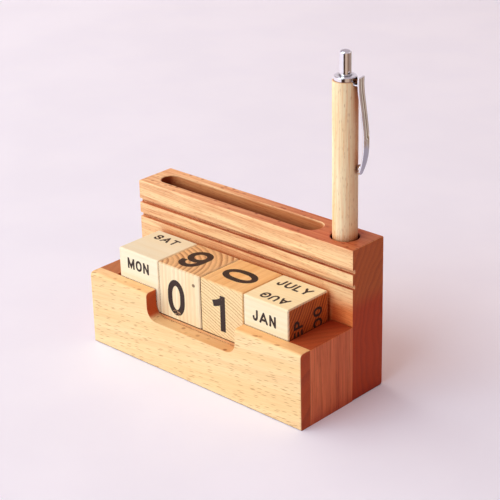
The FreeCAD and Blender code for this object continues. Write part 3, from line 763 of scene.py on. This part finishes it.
def pen_path(stroke, width, height):
    """Middle line of a stroke in mm, with its marked corners turned."""
    places = [Vector((point[0] * width, point[1] * height)) for point in stroke]
    smooth = [len(point) == 3 for point in stroke]
    path = [places[0]]
    for index in range(1, len(stroke) - 1):
        if not smooth[index]:
            path.append(places[index])
            continue
        reach = []
        for other in (index - 1, index + 1):
            length = (places[other] - places[index]).length
            closing = stroke[0][:2] == stroke[-1][:2] and other in (0, len(stroke) - 1)
            share = 0.5 if smooth[other] else 1.0
            reach.append(min(length * share, turn_limit * height if not closing else length))
        path += turned_corner(places[index - 1], places[index], places[index + 1], *reach)
    path.append(places[-1])
    tidy = path[:1]
    for place in path[1:]:
        if (place - tidy[-1]).length > same_place:
            tidy.append(place)
    return tidy


def stroke_sides(path, weight, height):
    """Left and right side of a stroke, mitred at its corners and squared at its ends."""
    closed = (path[0] - path[-1]).length < same_place
    path = path[:-1] if closed else list(path)
    if not closed:
        for end, inner in ((0, 1), (-1, -2)):
            along = (path[end] - path[inner]).normalized()
            slanted = min(abs(along.x), abs(along.y)) > slant_limit
            on_line = path[end].y < on_edge or path[end].y > height - on_edge
            reach = weight if slanted and on_line else weight * (0.2 if slanted else 0.5)
            path[end] = path[end] + along * reach
    sides = []
    count = len(path)
    for index, place in enumerate(path):
        before = path[index - 1] if closed or index else place
        after = path[(index + 1) % count] if closed or index < count - 1 else place
        legs = [leg.normalized() for leg in (place - before, after - place) if leg.length > 1e-6]
        squares = [Vector((-leg.y, leg.x)) for leg in legs]
        middle = sum(squares, Vector((0, 0))).normalized()
        offset = middle * (weight / 2 / max(middle.dot(squares[0]), mitre_limit))
        sides.append((place + offset, place - offset))
    return sides, closed


def letter_triangles(letter, height, weight):
    """Triangles that cover a letter's strokes, and its width, in mm."""
    share, strokes = LETTERS[letter]
    width = share * height
    inset = Vector((weight / 2, weight / 2))
    triangles = []
    for stroke in strokes:
        path = pen_path(stroke, width - weight if share else 0, height - weight)
        sides, closed = stroke_sides(path, weight, height - weight)
        for index in range(len(sides) if closed else len(sides) - 1):
            (a, b), (c, d) = sides[index], sides[(index + 1) % len(sides)]
            for corners in ((a, b, c), (b, d, c)):
                area = (corners[1] - corners[0]).cross(corners[2] - corners[0])
                if abs(area) > 1e-7:
                    ordered = corners if area > 0 else corners[::-1]
                    triangles.append([corner + inset for corner in ordered])
    return triangles, max(width, weight)


def merged(triangles):
    """One flat mesh that covers overlapping triangles, as corners and faces."""
    corners = [corner for triangle in triangles for corner in triangle]
    faces = [list(range(3 * index, 3 * index + 3)) for index in range(len(triangles))]
    found = geometry.delaunay_2d_cdt(corners, [], faces, 0, 1e-5, True)
    kept = [face for face, sources in zip(found[2], found[5]) if sources]
    return found[0], kept


def printed(name, text, height, weight_share, face_place, body, material):
    """A word or number as one thin piece of ink, laid on a cube's face by a matrix."""
    weight = weight_share * height
    shape = bmesh.new()
    reach = 0.0
    for letter in text:
        triangles, width = letter_triangles(letter, height, weight)
        corners, faces = merged(triangles)
        made = bmesh.new()
        points = [made.verts.new((corner.x, corner.y, 0)) for corner in corners]
        for face in faces:
            made.faces.new([points[index] for index in face])
        trim(made, width, height)
        bmesh.ops.translate(made, verts=made.verts, vec=(reach, 0, 0))
        flat = mesh_of("letter", made)
        shape.from_mesh(flat)
        bpy.data.meshes.remove(flat)
        reach += width + letter_gap * height
    reach -= letter_gap * height
    bmesh.ops.translate(shape, verts=shape.verts, vec=(-reach / 2, -height / 2, ink_stand))
    thicken(shape)
    mesh = mesh_of(name, shape, material)
    mesh.transform(face_place @ Matrix.Scale(MM, 4))
    piece = placed(name, mesh)
    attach(piece, body)


def trim(shape, width, height):
    """Cut a letter off square at the edges of its box and clear the lines inside it."""
    for place, normal in (((0, 0, 0), (0, -1, 0)), ((0, height, 0), (0, 1, 0)),
                          ((0, 0, 0), (-1, 0, 0)), ((width, 0, 0), (1, 0, 0))):
        everything = shape.verts[:] + shape.edges[:] + shape.faces[:]
        bmesh.ops.bisect_plane(shape, geom=everything, plane_co=place, plane_no=normal,
                               clear_outer=True)
    bmesh.ops.remove_doubles(shape, verts=shape.verts, dist=same_place)
    bmesh.ops.dissolve_limit(shape, angle_limit=math.radians(0.5), verts=shape.verts,
                             edges=shape.edges)


def thicken(shape):
    """Turn a flat letter into a thin closed slab below its face."""
    for face in shape.faces:
        if face.normal.z < 0:
            face.normal_flip()
    top = shape.faces[:]
    grown = bmesh.ops.extrude_face_region(shape, geom=top)
    sunk = [part for part in grown["geom"] if isinstance(part, bmesh.types.BMVert)]
    bmesh.ops.translate(shape, verts=sunk, vec=(0, 0, -(ink_stand + ink_bed)))
    bmesh.ops.recalc_face_normals(shape, faces=shape.faces)


# Each face of a cube: the way its right side, its top and its outside point.
FACES = {
    "front": ((1, 0, 0), (0, 0, 1), (0, -1, 0)),
    "back": ((-1, 0, 0), (0, 0, 1), (0, 1, 0)),
    "right": ((0, 1, 0), (0, 0, 1), (1, 0, 0)),
    "left": ((0, -1, 0), (0, 0, 1), (-1, 0, 0)),
    "top": ((1, 0, 0), (0, 1, 0), (0, 0, 1)),
    "under": ((1, 0, 0), (0, -1, 0), (0, 0, -1)),
}


def face_frame(node, face, across, up, turn):
    """Matrix from a print's flat frame to a place on a cube's face, turned in steps of degrees."""
    low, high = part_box(node)
    right, top, out = (Vector(axis) for axis in FACES[face])
    middle = (low + high) / 2
    half = (high - low).x / 2
    origin = middle + out * half + (right * across + top * up) * MM
    basis = Matrix((right, top, out)).transposed().to_4x4()
    return Matrix.Translation(origin) @ basis @ Matrix.Rotation(math.radians(turn), 4, "Z")


HIDDEN_FACES = ("right", "back", "left", "under")


def hidden_digits(digits):
    """Prints of the four faces of a date cube that are mostly out of sight."""
    return [(face, digit, digit_height, digit_weight, 0, 0 if face == "under" else digit_rise, 0)
            for face, digit in zip(HIDDEN_FACES, digits)]


# The prints of each cube: face, text, height, weight share, place across and up, and turn.
PRINTS = {
    "weekday": [
        ("front", "MON", 5.1, word_weight, -0.3, 6.5, 0),
        ("top", "SAT", 5.0, word_weight, -1.3, 6.5, 0),
        *((face, day, word_height, word_weight, 0, word_rise, 0)
          for face, day in zip(HIDDEN_FACES, ("TUE", "WED", "THU", "FRI"))),
        ("under", "SUN", word_height, word_weight, 0, -word_rise, 180),
    ],
    "tens": [
        ("front", "0", 17.0, digit_weight, -2.0, -1.8, 0),
        ("top", "9", 17.0, 0.175, -1.3, -0.2, 0),
        *hidden_digits("1278"),
    ],
    "units": [
        ("front", "1", 16.6, 0.178, -2.0, -0.8, 0),
        ("top", "0", 17.9, digit_weight, -0.1, -0.5, 90),
        *hidden_digits("2345"),
    ],
    "month": [
        ("front", "JAN", 5.1, word_weight, -0.8, 4.75, 0),
        ("front", "FEB", 5.3, word_weight, 0, -6.5, 180),
        ("top", "JULY", 5.4, word_weight, -0.1, 5.8, 0),
        ("top", "AUG", 5.0, word_weight, 0.6, -7.3, 180),
        ("right", "SEP", month_height, word_weight, -6.5, -1.0, 90),
        ("right", "OCT", month_height, word_weight, 5.7, 0.0, -90),
        ("back", "MAR", month_height, word_weight, 0, month_rise, 0),
        ("back", "APR", month_height, word_weight, 0, -month_rise, 180),
        ("left", "NOV", month_height, word_weight, -month_rise, 0, 90),
        ("left", "DEC", month_height, word_weight, month_rise, 0, -90),
        ("under", "MAY", month_height, word_weight, 0, month_rise, 0),
        ("under", "JUNE", month_height, word_weight, 0, -month_rise, 180),
    ],
}


def print_cubes():
    """Every day, date and month, in one ink."""
    ink = plain("print_ink", (40, 20, 13), (49, 27, 18), (0.55, 0.66), grit=0.35, depth=0.01,
                smudge=3.0)
    chip_ink(ink)
    for cube, prints in PRINTS.items():
        for face, text, height, weight, across, up, turn in prints:
            name = "_".join(("print", cube, face, text.lower()))
            place = face_frame("cube_" + cube, face, across, up, turn)
            printed(name, text, height, weight, place, cube + "_cube", ink)


def chip_ink(material):
    """Ink worn off in specks, most of them at the foot of the first date figure."""
    g = Graph(material.node_tree)
    base = base_color(material)
    low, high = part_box("cube_tens")
    foot = Vector(((low.x + high.x) / 2 - chip_left * MM, low.y, low.z + chip_up * MM))
    place = g.place()
    away = g.length(g.vector("SUBTRACT", place, tuple(foot)))
    near = g.ease(away, chip_rim * MM, chip_heart * MM)
    speck = g.noise(place, 1700.0, 1.0)["Fac"]
    worn = g.ease(g.math("SUBTRACT", speck, g.between(near, 0.76, 0.6)), 0.0, 0.04)
    worn = g.times(worn, 0.9)
    g.feed(base, g.blend(worn, base.links[0].from_socket, tone(214, 166, 122)))


# ---------------- studio
def floor_and_room():
    """Pale seamless floor, and a room of the same tone around it."""
    material, g, shader = new_material("studio_paper")
    shape = bmesh.new()
    bmesh.ops.create_circle(shape, cap_ends=True, radius=floor_reach, segments=floor_sides)
    floor = placed("studio_floor", mesh_of("studio_floor", shape, material))
    paper = g.group(surface, Smudge_Size=60.0, Grit_Size=0.6, Shine_From=0.85, Shine_To=0.95)
    far = g.ease(g.length(g.place()), fade_from, fade_to)
    paper_tone = g.blend(paper["Smudge"], tone(226, 228, 244), tone(229, 231, 247))
    g.feed(shader["Base Color"], g.blend(far, paper_tone, (0, 0, 0, 1)))
    g.feed(shader["Roughness"], paper["Roughness"])
    g.feed(shader["Normal"], bump(g, paper["Height"], 0.02))
    g.feed(shader["Emission Color"], g.blend(far, PALE_FLOOR, PALE_ROOM))
    g.feed(shader["Emission Strength"],
           g.times(seen_directly(g), g.between(far, floor_lift, 1.0)))

    world = bpy.data.worlds.new("studio_room")
    bpy.context.scene.world = world
    world.use_nodes = True
    g = Graph(world.node_tree)
    background = world.node_tree.nodes["Background"].inputs
    way = g.add("TexCoord").outputs["Generated"]
    rear, above = g.match(way, (-0.3, 0.95, 0.1)), g.match(way, (0, 0, 1))
    light = g.blend(g.ease(rear, 0.3, 1.0), ROOM_LIGHT, REAR_LIGHT)
    light = g.blend(g.ease(above, 0.4, 1.0), light, HIGH_LIGHT)
    shown = g.blend(g.ease(above, 0.12, 0.5), PALE_ROOM, OVERHEAD)
    g.feed(background["Color"], g.blend(seen_directly(g), light, shown))
    background["Strength"].default_value = 1.0


def seen_directly(g):
    """1 for what the camera sees, also in metal and through clear parts, and 0 for light itself."""
    path = g.add("LightPath").outputs
    mirrored = g.math("MAXIMUM", path["Is Glossy Ray"], path["Is Transmission Ray"])
    return g.math("MAXIMUM", path["Is Camera Ray"], mirrored)


def mirrored_wall():
    """Curved card of soft stripes round the pen, which only its bright metal mirrors."""
    middle = middle_of("pen_barrel")
    material, g, shader = new_material("studio_stripes")
    shape = bmesh.new()
    turns = [math.radians(turn) for turn in range(MIRRORED[0][0], MIRRORED[-1][0] + 1)]
    foot, bend, top = (wall_foot, 1), (wall_reach, 1), (wall_reach, wall_height)
    for first, second in zip(turns, turns[1:]):
        for near, far in ((foot, bend), (bend, top)):
            corners = ((first, near), (second, near), (second, far), (first, far))
            shape.faces.new([
                shape.verts.new((math.sin(turn) * out * MM, -math.cos(turn) * out * MM, lift * MM))
                for turn, (out, lift) in corners])
    wall = placed("studio_stripes", mesh_of("studio_stripes", shape, material))
    wall.location = (middle.x, middle.y, 0)
    for kind in ("camera", "diffuse", "transmission", "shadow", "volume_scatter"):
        setattr(wall, "visible_" + kind, False)

    spot = g.place()
    place = g.parts(spot)
    compass = g.math("ARCTAN2", place["X"], g.times(place["Y"], -1.0))
    compass = g.math("ADD", compass, g.times(g.math("LESS_THAN", compass, -1.0), math.tau))
    leaning = g.ease(place["Z"], lean_from * MM, lean_to * MM)
    leaning = g.times(leaning, math.radians(wall_lean))
    full_turns = g.math("DIVIDE", g.math("SUBTRACT", compass, leaning), math.tau)
    ramp = g.add("ValToRGB", {"Fac": full_turns})
    stops = ramp.color_ramp.elements
    for index, (degrees, rgb) in enumerate(MIRRORED):
        stop = stops[index] if index < 2 else stops.new(degrees / 360)
        stop.position = degrees / 360
        stop.color = tone(*rgb)
    reach = g.length(g.vector("MULTIPLY", spot, (1.0, 1.0, 0.0)))
    low = g.ease(place["Z"], low_from * MM, low_to * MM)
    shown = g.blend(low, ramp.outputs["Color"], MIRRORED_LOW)
    shown = g.blend(g.ease(reach, near_from * MM, near_to * MM), shown, MIRRORED_NEAR)
    g.feed(shader["Emission Color"], shown)
    shader["Emission Strength"].default_value = 1.0
    shader["Base Color"].default_value = (0, 0, 0, 1)
    shader["Specular IOR Level"].default_value = 0.0


def around(turn, lift):
    """Direction from the object, turned from the front towards +X and lifted, in degrees."""
    turn, lift = math.radians(turn), math.radians(lift)
    level = math.cos(lift)
    return Vector((math.sin(turn) * level, -math.cos(turn) * level, math.sin(lift)))


def soft_lamps():
    """A large soft lamp from the front and another from the left."""
    for name, (turn, lift, distance, size, power, tint) in LAMPS.items():
        data = bpy.data.lights.new(name, "AREA")
        data.shape = "SQUARE"
        data.size = size
        data.energy = power
        data.color = tint
        lamp = placed(name, data)
        lamp.visible_glossy = name == "key_lamp"
        towards = around(turn, lift)
        lamp.location = towards * distance
        lamp.rotation_mode = "QUATERNION"
        lamp.rotation_quaternion = towards.to_track_quat("Z", "Y")


def camera():
    """The camera, with its roll about its own line of sight."""
    back = around(camera_turn, camera_lift)
    right = (-back).cross(Vector((0, 0, 1))).normalized()
    up = right.cross(-back)
    roll = math.radians(camera_roll)
    side = right * math.cos(roll) + up * math.sin(roll)
    top = up * math.cos(roll) - right * math.sin(roll)
    data = bpy.data.cameras.new("camera")
    data.lens = camera_lens
    data.sensor_width = sensor_width
    eye = placed("camera", data)
    turned = Matrix((side, top, back)).transposed().to_4x4()
    eye.matrix_world = Matrix.Translation(camera_place) @ turned
    bpy.context.scene.camera = eye


dress_body()
dress_cubes()
dress_pen()
print_cubes()
floor_and_room()
mirrored_wall()
soft_lamps()
camera()
bpy.context.scene.view_settings.view_transform = "Standard"
